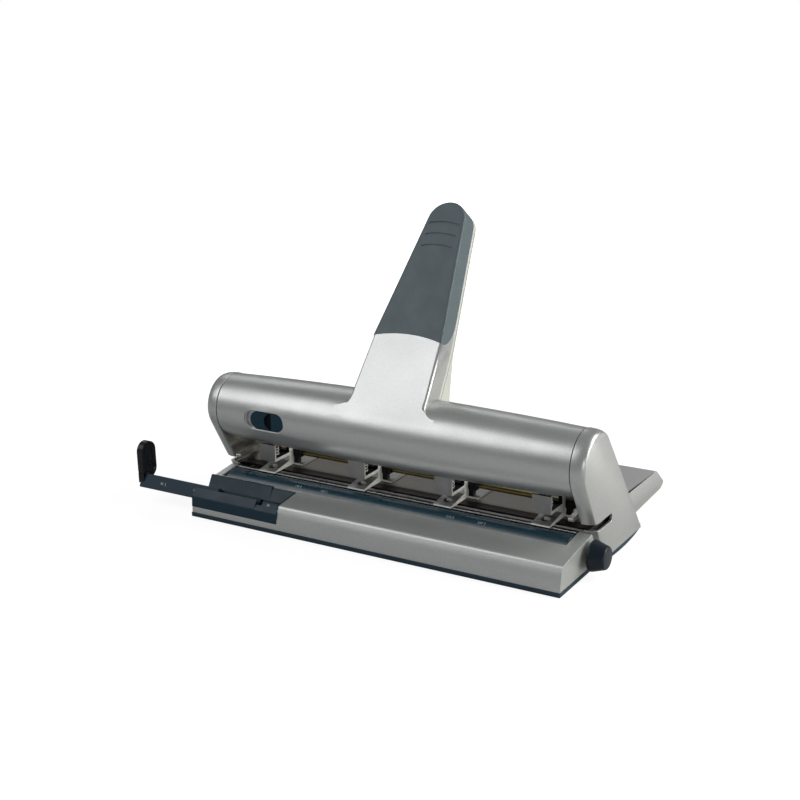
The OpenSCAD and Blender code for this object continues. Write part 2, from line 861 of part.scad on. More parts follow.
// Thumb slide of the lever lock, with a half-moon hollow for the finger
module lock_slider() {
    back = bezel_depth - bezel_wall - slider_gap;
    slide = (lock_w - 2 * bezel_wall - slider_w) / 2 - slider_play;
    color("midnightblue") translate([slide, 0, 0]) difference() {
        lock_slab(slider_w, lock_h - 2 * bezel_wall - 2 * slider_play, back - slider_t, back);
        translate([moon_out - lock_x, lock_face_y + back - slider_t + moon_depth, axis_h - lock_down])
            rotate([90, 0, 0]) linear_extrude(slider_t) intersection() {
                circle(r = moon_r, $fn = round_fn);
                translate([-moon_r, -moon_r]) square([moon_r, 2 * moon_r]);
            }
    }
}

// Thin rear shell of the lever, seated on the tube
module handle_back() {
    color("whitesmoke") difference() {
        on_lever() difference() {
            intersection() {
                lever_slab(lever_part, root_end_t, 0);
                lever_side(0, lever_root_w);
                box([-lever_root_w, -lever_front, root_end_s], [lever_root_w, lever_front, lever_len + cut]);
            }
            intersection() {
                lever_slab(lever_part - cut, root_end_t, lever_wall);
                lever_side(lever_wall, lever_root_w);
            }
        }
        translate([0, axis_y, axis_h]) barrel(seat_gap / 3);
    }
    color("whitesmoke") on_lever()
        box([-core_w / 2, core_front + core_t - lever_front, pad_low_s + pad_side_h],
            [core_w / 2, lever_t - lever_wall - lever_front + slice_t, core_top_s]);
}

// Dark grip pad over the front and sides of the lever, with three thumb grooves
module grip_pad() {
    color("slategray") on_lever() difference() {
        intersection() {
            lever_slab(0, lever_part, 0);
            pad_zone();
        }
        translate([0, lever_wall, 0]) lever_slab(0, lever_part, lever_wall);
        for (k = [0:2]) translate([0, groove_d - lever_front, groove_s + k * groove_pitch - groove_arc_r])
            rotate([90, 0, 0]) linear_extrude(groove_d + cut) groove_shape();
    }
}

// A shallow thumb groove: a short arc of a wide ring
module groove_shape() {
    half = asin(groove_w / 2 / groove_arc_r);
    polygon(concat(
        [for (k = [-arc_steps:arc_steps]) let (a = half * k / arc_steps)
            (groove_arc_r + groove_t / 2) * [sin(a), cos(a)]],
        [for (k = [-arc_steps:arc_steps]) let (a = -half * k / arc_steps)
            (groove_arc_r - groove_t / 2) * [sin(a), cos(a)]]));
}

// Steel core of the lever with the ring that clamps the shaft
module handle_core() {
    color("gray") on_lever() difference() {
        union() {
            box([-core_w / 2, core_front - lever_front, core_low_s],
                [core_w / 2, core_front + core_t - lever_front, core_top_s]);
            rotate([0, 90, 0]) cylinder(h = core_w, d = core_hub_d, center = true, $fn = round_fn);
            box([-core_w / 2, core_front + core_t / 2 - lever_front, -core_web_half],
                [core_w / 2, 0, core_web_half]);
        }
        rotate([0, 90, 0])
            cylinder(h = 2 * core_w, d = shaft_d + 2 * shaft_gap, center = true, $fn = round_fn);
    }
}

module lever_shaft() {
    color("gainsboro") {
        rod_x(-tube_half, tube_half, shaft_d, axis_y, axis_h);
        rod_x(-frame_out, frame_out, journal_d, axis_y, axis_h);
    }
}

// Discs that centre the shaft in the ends of the tube
module tube_hubs() {
    color("gray") for (s = [-1, 1]) side(s) difference() {
        rod_x(tube_half - hub_set - hub_t, tube_half - hub_set, hub_d, axis_y, axis_h);
        rod_x(0, base_half, shaft_d + 2 * shaft_gap, axis_y, axis_h);
        for (k = [0:hub_holes - 1])
            translate([0, axis_y, axis_h]) rotate([360 * k / hub_holes, 0, 0])
                rod_x(0, base_half, hub_hole_d, 0, hub_d / 2 * hub_hole_share, fine_fn);
    }
}

// Cam under the shaft's end: its face is the involute of a circle, so that the flat pad
// below it goes down by the same amount for each degree that the lever turns
module cam(which) {
    color("dimgray") side(which) translate([0, axis_y, axis_h]) difference() {
        union() {
            along_x(cam_in, cam_out) polygon(concat([[0, 0]], [
                for (k = [0:cam_steps]) let (a = -cam_lead + (lever_swing + 2 * cam_lead) * k / cam_steps)
                    let (p = cam_low + cam_rate * a * PI / 180)
                    p * [-sin(a), -cos(a)] + cam_rate * [-cos(a), sin(a)]]));
            rod_x(cam_in, cam_out, cam_hub_d, 0, 0);
        }
        rod_x(cheek_in, base_half, journal_d, 0, 0);
    }
}

// Bar behind the heads that pulls all four punches down
module press_bar() {
    color("gray") difference() {
        box([-cam_in, bar_front, bar_low], [cam_in, bar_front + bar_depth, bar_high]);
        for (s = [-1, 1]) translate([s * column_x, bar_front + bar_depth / 2, 0])
            cylinder(h = 2 * axis_h, d = column_d + 2 * column_gap, $fn = round_fn);
    }
}

// Arm at each end of the bar, with the flat pad that its cam presses on
module press_arm(which) {
    pad_y = axis_y - cam_rate;
    pad_z = axis_h - cam_low - cam_gap;
    bar_rear = bar_front + bar_depth;
    color("dimgray") side(which) along_x(cam_in, cam_out) polygon(rounded([
        [pad_y - arm_pad_half, pad_z], [pad_y + arm_pad_half, pad_z],
        [pad_y + arm_pad_half + arm_neck, bar_high], [bar_rear, bar_high], [bar_rear, bar_low],
        [axis_y + arm_neck, bar_low], [pad_y - arm_pad_half, pad_z - arm_pad_h]],
        [0, 0, arm_drop, 0, 0, arm_drop, arm_drop]));
}

// Places of the heads along X
head_places = [-1.5 * head_pitch, -0.5 * head_pitch + second_shift, 0.5 * head_pitch, 1.5 * head_pitch];

// Frame of a punch head: tongue, slit, upper jaw and rear wall in one profile
module head(i) {
    low = floor_top + head_floor_gap;
    y_tip = front_y + tongue_back;
    y_block = front_y + block_back;
    y_slit = front_y + slit_back;
    y_rear = front_y + head_rear;
    half = head_w / 2;
    color("lightgray") translate([head_places[i], 0, 0]) difference() {
        union() {
            along_x(-half, half) polygon([
                [y_tip, low], [y_tip, low + tongue_t], [y_slit, jaw_low - slit_h], [y_slit, jaw_low],
                [y_block, jaw_low], [y_block, head_top], [y_block + front_wall_t, head_top],
                [y_block + front_wall_t, jaw_low + jaw_t], [y_slit, jaw_low + jaw_t],
                [y_slit, rear_wall_top], [y_rear, rear_wall_top], [y_rear, low]]);
            box([-half, y_rear - cut, low], [carriage_right, carriage_rear, low + carriage_t]);
        }
        translate([0, punch_y, 0]) {
            cylinder(h = head_top, d = punch_d + 2 * bore_gap, $fn = round_fn);
            translate([0, 0, coil_low]) cylinder(h = head_top, d = coil_d + wire_d + run_gap, $fn = round_fn);
            cylinder(h = jaw_low - slit_h - die_land, d = punch_d + 2 * die_relief, $fn = round_fn);
        }
        box([-yoke_w / 2 - notch_gap, y_slit - cut, bar_low - yoke_t - punch_stroke - 2 * notch_gap],
            [yoke_w / 2 + notch_gap, y_rear + cut, head_top + cut]);
        along_y(y_block - cut, y_block + front_wall_t + slice_t) difference() {
            translate([-half - cut, jaw_low - cut]) square([head_round + cut, head_round + cut]);
            translate([-half + head_round, jaw_low + head_round]) circle(r = head_round, $fn = fine_fn);
        }
    }
}

// Punch with the yoke that hooks it to the press bar
module punch(i) {
    y_hook = bar_front - run_gap;
    top = bar_low;
    color("gainsboro") translate([head_places[i], 0, 0]) {
        translate([0, punch_y, jaw_low + punch_set])
            cylinder(h = top - jaw_low - punch_set, d = punch_d, $fn = round_fn);
        along_x(-yoke_w / 2, yoke_w / 2) polygon(rounded([
            [punch_y - yoke_front, top - yoke_t], [punch_y - yoke_front, top],
            [y_hook - hook_wall, top], [y_hook - hook_wall, bar_high + run_gap + hook_wall],
            [bar_front + bar_depth, bar_high + run_gap + hook_wall],
            [bar_front + bar_depth, bar_high + run_gap], [y_hook, bar_high + run_gap],
            [y_hook, top - run_gap], [bar_front + bar_depth, top - run_gap],
            [bar_front + bar_depth, top - yoke_t]],
            [0, 0, 0, hook_round, 0, 0, 0, 0, 0, 0]));
    }
}

// Black clip behind a head that grips the guide rail
module clip(i) {
    half = head_w / 2;
    y0 = front_y + head_rear;
    leg_low = floor_top + head_floor_gap + carriage_t;
    color([0.06, 0.06, 0.07]) translate([head_places[i], 0, 0]) difference() {
        union() {
            box([half - clip_over, y0, clip_low], [half - clip_over + clip_w, y0 + clip_depth, clip_high]);
            box([clip_leg_x, y0, leg_low], [clip_leg_x + clip_leg_w, y0 + clip_depth / 2, clip_low + cut]);
        }
        rod_x(-head_w, 2 * head_w, rail_d + 2 * clip_gap, rail_y, rail_z, fine_fn);
    }
}

// Coil spring round a punch, one unbroken wire
coil_low = jaw_low + jaw_t - seat_depth;
coil_high = bar_low - yoke_t;
coil_rise = coil_high - coil_low - wire_d;
coil_n = coil_turns * coil_rings;
function coil_point(k) = [coil_d / 2 * cos(360 * k / coil_rings), coil_d / 2 * sin(360 * k / coil_rings),
    coil_low + wire_d / 2 + coil_rise * k / coil_n];
function coil_skin(k, j) =
    let (a = 360 * k / coil_rings, b = 360 * j / coil_sides)
    coil_point(k) + wire_d / 2 * cos(b) * [cos(a), sin(a), 0] + [0, 0, wire_d / 2 * sin(b)];
coil_gap = coil_rise / coil_turns - wire_d;
echo(least_gap_of_a_coil_to_itself = coil_gap);

module spring(i) {
    m = coil_sides;
    points = [for (k = [0:coil_n], j = [0:m - 1]) coil_skin(k, j)];
    faces = concat(
        [for (k = [0:coil_n - 1], j = [0:m - 1]) [k * m + j, (k + 1) * m + j, k * m + (j + 1) % m]],
        [for (k = [0:coil_n - 1], j = [0:m - 1])
            [k * m + (j + 1) % m, (k + 1) * m + j, (k + 1) * m + (j + 1) % m]],
        [for (j = [1:m - 2]) [0, j, j + 1]],
        [for (j = [1:m - 2]) [coil_n * m, coil_n * m + j + 1, coil_n * m + j]]);
    color("white") translate([head_places[i], punch_y, 0]) polyhedron(points = points, faces = faces);
}

module scale_drum() {
    color("midnightblue") difference() {
        rod_x(-drum_left, drum_right, drum_d, drum_y, drum_h);
        rod_x(-cheek_out, cheek_out, drum_shaft_d, drum_y, drum_h);
    }
}

module drum_shaft() {
    color("gainsboro") rod_x(drum_stub - base_half, knob_x + knob_len / 2,
        drum_shaft_d, drum_y, drum_h);
}

module drum_knob() {
    knob_r = knob_d / 2;
    small_r = knob_r * knob_small_share;
    color("black") translate([knob_x, drum_y, drum_h]) rotate([0, 90, 0])
        difference() {
            rotate_extrude($fn = round_fn) polygon(rounded([
                [0, 0], [knob_r - knob_lip / 2, 0], [knob_r, knob_lip], [small_r, knob_len], [0, knob_len]],
                [0, 0, 0, knob_lip, 0]));
            translate([0, 0, -cut]) cylinder(h = knob_len / 2 + cut, d = drum_shaft_d, $fn = round_fn);
        }
}

// Side profile of the chip tray: the rear underside rises for the fingers
function tray_profile(inset) =
    let (y0 = punch_y + tray_front + inset, y1 = punch_y + tray_front + tray_len - inset)
    let (low = tray_low + inset, top = tray_h - inset)
    rounded([[y0, low], [y0 + tray_flat_len, low], [y1 - tray_nose, low + tray_rise],
        [y1, low + tray_rise + tray_nose], [y1 - tray_nose_back, top], [y0, top]],
        [0, 0, tray_nose, tray_nose / 2, tray_nose, 0]);

// Cross profile of the chip tray: side walls that are widest at half their height
module tray_cross(inset) {
    w = tray_half - inset;
    low = tray_low + inset;
    mid = (tray_low + tray_h) / 2;
    top = tray_h - inset;
    polygon([[w - tray_side_low_in, low], [w, mid], [w - tray_side_in, top],
        [tray_side_in - w, top], [-w, mid], [tray_side_low_in - w, low]]);
}

module chip_tray() {
    y0 = punch_y + tray_front;
    color("silver") difference() {
        intersection() {
            along_x(-tray_half, tray_half) polygon(tray_profile(0));
            along_y(y0, y0 + tray_len) tray_cross(0);
        }
        intersection() {
            along_x(-tray_half, tray_half) polygon(tray_profile(tray_wall));
            along_y(y0, y0 + tray_len) tray_cross(tray_wall);
        }
        box([-tray_half + 3 * tray_wall, y0 + tray_wall, tray_lip_h],
            [tray_half - 3 * tray_wall, y0 + tray_open_len, tray_h + cut]);
        box([-tray_half + lid_in + tray_ledge, y0 + tray_wall, tray_lip_h],
            [tray_half - lid_in - tray_ledge, lid_rear_y - tray_ledge, tray_h + cut]);
        box([-tray_half - cut, y0 - cut, tray_lip_h], [tray_half + cut, y0 + tray_wall + cut, tray_h + cut]);
        lid_slab(seat_gap / 3, cut);
    }
}
// Rear edge of the tray's dark panel
lid_rear_y = punch_y + tray_front + tray_len - tray_nose_back - tray_wall / 2;

// Flat dark panel let into the top of the tray's rear part
module lid_slab(side_gap, over) {
    y0 = punch_y + tray_front + tray_open_len + tray_wall;
    box([-tray_half + lid_in - side_gap, y0 - side_gap, tray_h - lid_t],
        [tray_half - lid_in + side_gap, lid_rear_y + side_gap, tray_h + over]);
}

module chip_tray_lid() {
    color("gray") lid_slab(0, 0);
}

base_pan();
rubber_feet();
base_screws();
table_cover();
front_rail();
floor_plate();
guide_rail();
frame(-1);  // frame_left
frame(1);  // frame_right
cheek(-1);  // cheek_left
cheek(1);  // cheek_right
tie_rod();
shaft_bushes();
column_bracket(-1);  // column_bracket_left
column_bracket(1);  // column_bracket_right
guide_columns();
guide_housing();
tube_cover();
handle_back();
grip_pad();
handle_core();
lever_shaft();
tube_hubs();
cam(-1);  // cam_left
cam(1);  // cam_right
lock_bezel();
lock_slider();
press_bar();
press_arm(-1);  // press_arm_left
press_arm(1);  // press_arm_right
for (i = [0:3]) {
    head(i);
    clip(i);
    punch(i);
    spring(i);
}
scale_drum();
drum_shaft();
drum_knob();
guide_bar();
guide_paddle();
chip_tray();
chip_tray_lid();
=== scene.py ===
"""Looks of the long-arm desk punch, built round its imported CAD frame. Lengths are in metres."""

import json
import math

import bmesh
import bpy
from mathutils import Matrix, Vector

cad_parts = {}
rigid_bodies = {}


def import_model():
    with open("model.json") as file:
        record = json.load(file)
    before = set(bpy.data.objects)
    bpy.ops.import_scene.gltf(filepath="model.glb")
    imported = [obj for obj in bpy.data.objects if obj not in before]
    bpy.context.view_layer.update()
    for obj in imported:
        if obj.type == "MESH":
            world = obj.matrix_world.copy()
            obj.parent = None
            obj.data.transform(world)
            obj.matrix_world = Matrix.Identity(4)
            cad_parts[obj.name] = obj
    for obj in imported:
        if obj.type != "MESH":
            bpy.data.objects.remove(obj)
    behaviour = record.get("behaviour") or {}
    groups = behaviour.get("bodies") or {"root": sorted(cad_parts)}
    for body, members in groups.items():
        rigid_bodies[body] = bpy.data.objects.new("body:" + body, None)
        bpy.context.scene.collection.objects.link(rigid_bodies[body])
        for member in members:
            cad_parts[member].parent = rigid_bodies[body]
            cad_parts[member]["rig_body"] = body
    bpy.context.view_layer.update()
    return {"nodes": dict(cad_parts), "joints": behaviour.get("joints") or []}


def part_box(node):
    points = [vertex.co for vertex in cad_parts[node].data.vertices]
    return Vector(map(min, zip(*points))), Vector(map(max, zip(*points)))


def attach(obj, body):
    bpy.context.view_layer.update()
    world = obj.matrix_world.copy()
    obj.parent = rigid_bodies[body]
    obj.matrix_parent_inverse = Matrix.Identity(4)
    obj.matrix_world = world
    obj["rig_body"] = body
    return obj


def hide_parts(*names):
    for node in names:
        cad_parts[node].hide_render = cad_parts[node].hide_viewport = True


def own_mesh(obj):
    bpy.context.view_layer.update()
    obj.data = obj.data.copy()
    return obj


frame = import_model()
NODES = frame["nodes"]
JOINTS = {joint["name"]: joint for joint in frame["joints"]}

# The photograph's camera, worked out from the object's own edges
IMAGE_PX = 800
FOCAL_PX = 1406.278
CENTRE_PX = (407.435, 400.159)
CAMERA_PLACE = Vector((0.52306, -0.86172, 0.40898))
CAMERA_AZIMUTH = math.radians(31.338)
CAMERA_ELEVATION = math.radians(17.139)
CAMERA_ROLL = math.radians(-1.24)
SENSOR_MM = 36
NEAREST_VIEW = 0.01

# Width of the rounded edges of a moulding, a fine part and a sheet part,
# then of the rims round the lever's front and its rear shell
SOFT_EDGE = 0.0009
FINE_EDGE = 0.0004
SHEET_EDGE = 0.0002
RIM_EDGE = 0.0021
BACK_EDGE = 0.0032
RIM_SEGMENTS = 4
RIM_TOLERANCE = 0.00002

# Steepest bend that is shaded smooth, and what counts as one point or one plane of the CAD mesh
SHARP_ANGLE = math.radians(32)
MERGE_DISTANCE = 1e-6
FLAT_ANGLE = math.radians(0.05)

# Least cosine at which a face looks along an axis: nearly straight, mostly, or more than across
STRAIGHT = 0.9
FACING = 0.7
LEANING = 0.5

# Axes from the frame, then the lever's lean at rest, the depth of its front and its directions
AXIS = Vector(JOINTS["lever_swing"]["pos_m"])
DRUM_AXIS = Vector(JOINTS["drum_spin"]["pos_m"])
LEVER_LEAN = math.radians(37)
LEVER_FRONT = 0.0276
LEVER_INWARD = Vector((0, math.cos(LEVER_LEAN), -math.sin(LEVER_LEAN)))
LEVER_ALONG = Vector((0, math.sin(LEVER_LEAN), math.cos(LEVER_LEAN)))

# Heights along the lever where its rims begin and its flare ends, and half the grooves' width
FLARE_FROM = 0.0075
FLARE_TOP = 0.018
BACK_RIM_FROM = 0.029
TIP_FROM = 0.1625
GROOVE_HALF = 0.0145

# Parts of a punch head: half its width, its front wall and the underside of its upper jaw
HEADS = (1, 2, 3, 4)
HEAD_HALF = 0.007
HEAD_FRONT_BACK = 0.0018
JAW_LOW = 0.0364

# How far the coils go beyond their CAD form, in the wire's radius and in the turns' radius
WIRE_EXTRA = 0.00022
COIL_WIDER = 0.0014

# Ends of the painted shade: below the rail's bright lip, behind the slider's front,
# before the sleeve's right end and behind the floor plate's front edge
RAIL_SHEET = 0.0008
NOTCH_FROM = 0.00008
SLEEVE_SHORT = 0.015
SLOT_SHADE_BAND = 0.009

# Seam of the lever's rear shell, border and dish of the guide's plate
SEAM_DEPTH = 0.0205
SEAM_WIDTH = 0.0006
PADDLE_BORDER = 0.0016
PADDLE_DISH = 0.001

# Sizes of paint flakes, orange peel and cloudy patches in the finishes, heights of their relief,
# and the width of drawn lines with how many times longer they are
FLAKE_SIZE = 0.0004
FLAKE_HEIGHT = 0.000004
PEEL_SIZE = 0.0016
PEEL_HEIGHT = 0.000012
PAINT_PATCH = 0.03
FLOW_PATCH = 0.018
GLOSS_PATCH = 0.012
METAL_PATCH = 0.012
LINE_WIDTH = 0.00025
LINE_STRETCH = 60

# Floor: half its size, its two tones and their patches, the share of its glow near the object,
# the glow's strength, and the distances between which the shadow gives way to plain white
FLOOR_HALF = 6
FLOOR_TONES = ((0.58, 0.58, 0.58), (0.62, 0.62, 0.62))
FLOOR_PATCH = 0.4
GLOW_SHARE = 0.52
GLOW_STRENGTH = 1.65
SHADOW_REACH = 0.3
FLOOR_WHITE_FROM = 0.9

# Lamps: name, place, size, power in watts, colour and the point that each looks at
NEUTRAL = (1, 1, 1)
WARM = (1, 0.99, 0.94)
MIDDLE = Vector((0, 0, 0.07))
TRAY_SIDE = Vector((0.33, 0.28, 0))
LAMPS = (
    ("key", (-0.95, -1.1, 1.3), (1.4, 1.25), 12, NEUTRAL, MIDDLE),
    ("side", (1.7, 0.5, 0.55), (1.0, 1.0), 11.5, (1, 0.99, 0.9), MIDDLE),
    ("low", (1.25, -1.0, 0.3), (0.6, 0.35), 2.4, NEUTRAL, MIDDLE),
    ("back", (-1.3, 1.5, 1.5), (1.5, 0.6), 4, NEUTRAL, MIDDLE),
    ("behind", (0.8, 0.5, 0.5), (0.5, 0.8), 6, WARM, TRAY_SIDE),
)
ROOM_COLOUR = (0.8, 0.82, 0.82, 1)
ROOM_STRENGTH = 0.24

# Raised marks of the scales: how thick and how far sunk they are, their height, the width of
# a tick and its distance from the middle of its number
MARK_THICK = 0.00008
MARK_SINK = 0.00002
NUMBER_HEIGHT = 0.0028
TICK_WIDTH = 0.0004
TICK_AFTER = NUMBER_HEIGHT * 1.3

# Numbers along X on the drum, from its middle, and on the bar, from its left end,
# and how far the face that carries them turns up
DRUM_MARKS = ((-0.084, "148"), (-0.06, "182"), (0.051, "210"), (0.077, "297"))
DRUM_MARK_ANGLE = math.radians(58)
BAR_MARKS = ((0.022, "85"), (0.055, "90"))
BAR_LEAN = math.radians(25)
BAR_THICK = 0.0045

# Profile of the guide's housing where its front slopes, and its number: along X, up, text
HOUSING_SET = 0.001
RIDGE_IN = 0.0086
RIDGE_FACE_IN = 0.0016
RIDGE_TOP = 0.0227
RIDGE_FACE_TOP = 0.016
HOUSING_MARK = (-0.0875, 0.006, "80")

# Finish and edge of each CAD node but the lever's mouldings, the guide's plate and the heads
FINISHES = {
    "base_pan": ("rim_plastic", FINE_EDGE),
    "rubber_feet": ("foot_rubber", FINE_EDGE),
    "base_screws": ("screw_steel", SHEET_EDGE),
    "table_cover": ("table_paint", SOFT_EDGE),
    "front_rail": ("bright_steel", SHEET_EDGE),
    "floor_plate": ("floor_steel", SHEET_EDGE),
    "guide_rail": ("brass", SHEET_EDGE),
    "frame_left": ("zinc_steel", SHEET_EDGE),
    "frame_right": ("zinc_steel", SHEET_EDGE),
    "cheek_left": ("silver_paint", FINE_EDGE),
    "cheek_right": ("silver_paint", FINE_EDGE),
    "tie_rod": ("zinc_steel", SHEET_EDGE),
    "shaft_bushes": ("brass", SHEET_EDGE),
    "column_bracket_left": ("zinc_steel", FINE_EDGE),
    "column_bracket_right": ("zinc_steel", FINE_EDGE),
    "guide_columns": ("bright_steel", FINE_EDGE),
    "guide_housing": ("slate_plastic", FINE_EDGE),
    "handle_core": ("zinc_steel", FINE_EDGE),
    "lever_shaft": ("bright_steel", FINE_EDGE),
    "tube_hubs": ("black_plastic", FINE_EDGE),
    "cam_left": ("zinc_steel", SHEET_EDGE),
    "cam_right": ("zinc_steel", SHEET_EDGE),
    "lock_bezel": ("silver_paint", FINE_EDGE),
    "lock_slider": ("slider_plastic", 0),
    "press_bar": ("zinc_steel", FINE_EDGE),
    "press_arm_left": ("zinc_steel", SHEET_EDGE),
    "press_arm_right": ("zinc_steel", SHEET_EDGE),
    "scale_drum": ("drum_blue", SOFT_EDGE),
    "drum_shaft": ("bright_steel", FINE_EDGE),
    "drum_knob": ("knob_plastic", SOFT_EDGE),
    "guide_bar": ("rim_plastic", FINE_EDGE),
    "chip_tray": ("silver_paint", SOFT_EDGE),
    "chip_tray_lid": ("lid_plastic", SHEET_EDGE),
}


def place_camera():
    """The camera of the photograph. It comes first."""
    back = Vector((
        math.sin(CAMERA_AZIMUTH) * math.cos(CAMERA_ELEVATION),
        -math.cos(CAMERA_AZIMUTH) * math.cos(CAMERA_ELEVATION),
        math.sin(CAMERA_ELEVATION),
    ))
    level = Vector((math.cos(CAMERA_AZIMUTH), math.sin(CAMERA_AZIMUTH), 0))
    upright = back.cross(level)
    right = math.cos(CAMERA_ROLL) * level + math.sin(CAMERA_ROLL) * upright
    up = math.cos(CAMERA_ROLL) * upright - math.sin(CAMERA_ROLL) * level
    data = bpy.data.cameras.new("camera")
    camera = bpy.data.objects.new("camera", data)
    bpy.context.scene.collection.objects.link(camera)
    camera.matrix_world = Matrix((
        (right.x, up.x, back.x, CAMERA_PLACE.x),
        (right.y, up.y, back.y, CAMERA_PLACE.y),
        (right.z, up.z, back.z, CAMERA_PLACE.z),
        (0, 0, 0, 1),
    ))
    data.sensor_width = SENSOR_MM
    data.lens = FOCAL_PX * SENSOR_MM / IMAGE_PX
    data.shift_x = (IMAGE_PX / 2 - CENTRE_PX[0]) / IMAGE_PX
    data.shift_y = (CENTRE_PX[1] - IMAGE_PX / 2) / IMAGE_PX
    data.clip_start = NEAREST_VIEW
    bpy.context.scene.camera = camera


class Shader:
    """A Principled material with helpers that add its procedural detail."""

    def __init__(self, name, **sockets):
        self.material = bpy.data.materials.new(name)
        self.material.use_nodes = True
        self.tree = self.material.node_tree
        self.base = self.tree.nodes["Principled BSDF"]
        for socket, value in sockets.items():
            self.base.inputs[socket.replace("_", " ")].default_value = value
        self.coordinates = self.tree.nodes.new("ShaderNodeTexCoord").outputs["Object"]

    def link(self, start, end):
        self.tree.links.new(start, end)

    def noise(self, size, stretch=(1, 1, 1), detail=3.0):
        """Noise whose grain is about size across, drawn out along an axis by stretch."""
        mapping = self.tree.nodes.new("ShaderNodeMapping")
        mapping.inputs["Scale"].default_value = [1 / (size * s) for s in stretch]
        self.link(self.coordinates, mapping.inputs["Vector"])
        noise = self.tree.nodes.new("ShaderNodeTexNoise")
        noise.inputs["Scale"].default_value = 1
        noise.inputs["Detail"].default_value = detail
        self.link(mapping.outputs["Vector"], noise.inputs["Vector"])
        return noise.outputs["Fac"]

    def flakes(self, size):
        """A value for each small cell, as the flakes in a metallic paint."""
        cells = self.tree.nodes.new("ShaderNodeTexVoronoi")
        cells.inputs["Scale"].default_value = 1 / size
        self.link(self.coordinates, cells.inputs["Vector"])
        split = self.tree.nodes.new("ShaderNodeSeparateColor")
        self.link(cells.outputs["Color"], split.inputs["Color"])
        return split.outputs["Red"]

    def spread(self, value, low, high, from_low=0.3, from_high=0.7):
        """The value between low and high."""
        node = self.tree.nodes.new("ShaderNodeMapRange")
        for socket, number in zip(("From Min", "From Max", "To Min", "To Max"),
                                  (from_low, from_high, low, high)):
            node.inputs[socket].default_value = number
        self.link(value, node.inputs["Value"])
        return node.outputs["Result"]

    def colour(self, value, first, second, from_low=0.3, from_high=0.7):
        """Base colour that goes from first to second with the value."""
        ramp = self.tree.nodes.new("ShaderNodeValToRGB")
        ramp.color_ramp.elements[0].position = from_low
        ramp.color_ramp.elements[0].color = (*first, 1)
        ramp.color_ramp.elements[1].position = from_high
        ramp.color_ramp.elements[1].color = (*second, 1)
        self.link(value, ramp.inputs["Fac"])
        self.link(ramp.outputs["Color"], self.base.inputs["Base Color"])

    def roughness(self, value, low, high):
        self.link(self.spread(value, low, high), self.base.inputs["Roughness"])

    def bump(self, value, height):
        """Relief of a real height in metres. A second one lies on top of the first."""
        node = self.tree.nodes.new("ShaderNodeBump")
        node.inputs["Strength"].default_value = 1
        node.inputs["Distance"].default_value = height
        self.link(value, node.inputs["Height"])
        before = self.base.inputs["Normal"].links
        if before:
            self.link(before[0].from_socket, node.inputs["Normal"])
        self.link(node.outputs["Normal"], self.base.inputs["Normal"])


def shade(colour, factor):
    """A colour made darker or lighter."""
    return tuple(min(1, c * factor) for c in colour)


def painted(name, colour, metallic, rough):
    """Sprayed metallic paint: fine flakes, a faint unevenness and an orange-peel skin."""
    s = Shader(name, Metallic=metallic, Coat_Weight=0.15, Coat_Roughness=0.25)
    s.colour(s.flakes(FLAKE_SIZE), shade(colour, 0.93), shade(colour, 1.06), 0.1, 0.9)
    s.roughness(s.noise(PAINT_PATCH), rough - 0.03, rough + 0.04)
    s.bump(s.noise(PEEL_SIZE), PEEL_HEIGHT)
    s.bump(s.flakes(FLAKE_SIZE), FLAKE_HEIGHT)
    return s.material


def moulded(name, colour, rough, grain=0.0006, height=0.00002, tint=0.08, **sockets):
    """Moulded plastic: a spark-eroded grain, faint flow marks and a little uneven gloss."""
    s = Shader(name, **sockets)
    s.colour(s.noise(FLOW_PATCH, detail=4), shade(colour, 1 - tint), shade(colour, 1 + tint))
    s.roughness(s.noise(GLOSS_PATCH), rough - 0.05, rough + 0.06)
    s.bump(s.noise(grain, detail=1), height)
    return s.material


def machined(name, colour, rough, stretch, metallic=1.0, height=0.000006, spots=0.1, streaks=0.07):
    """Metal with drawn or ground lines along one axis and faint cloudy patches."""
    s = Shader(name, Metallic=metallic)
    s.colour(s.noise(METAL_PATCH, detail=4), shade(colour, 1 - spots), shade(colour, 1 + spots))
    lines = s.noise(LINE_WIDTH, stretch=stretch, detail=2)
    s.roughness(lines, rough - streaks, rough + streaks)
    s.bump(lines, height)
    return s.material


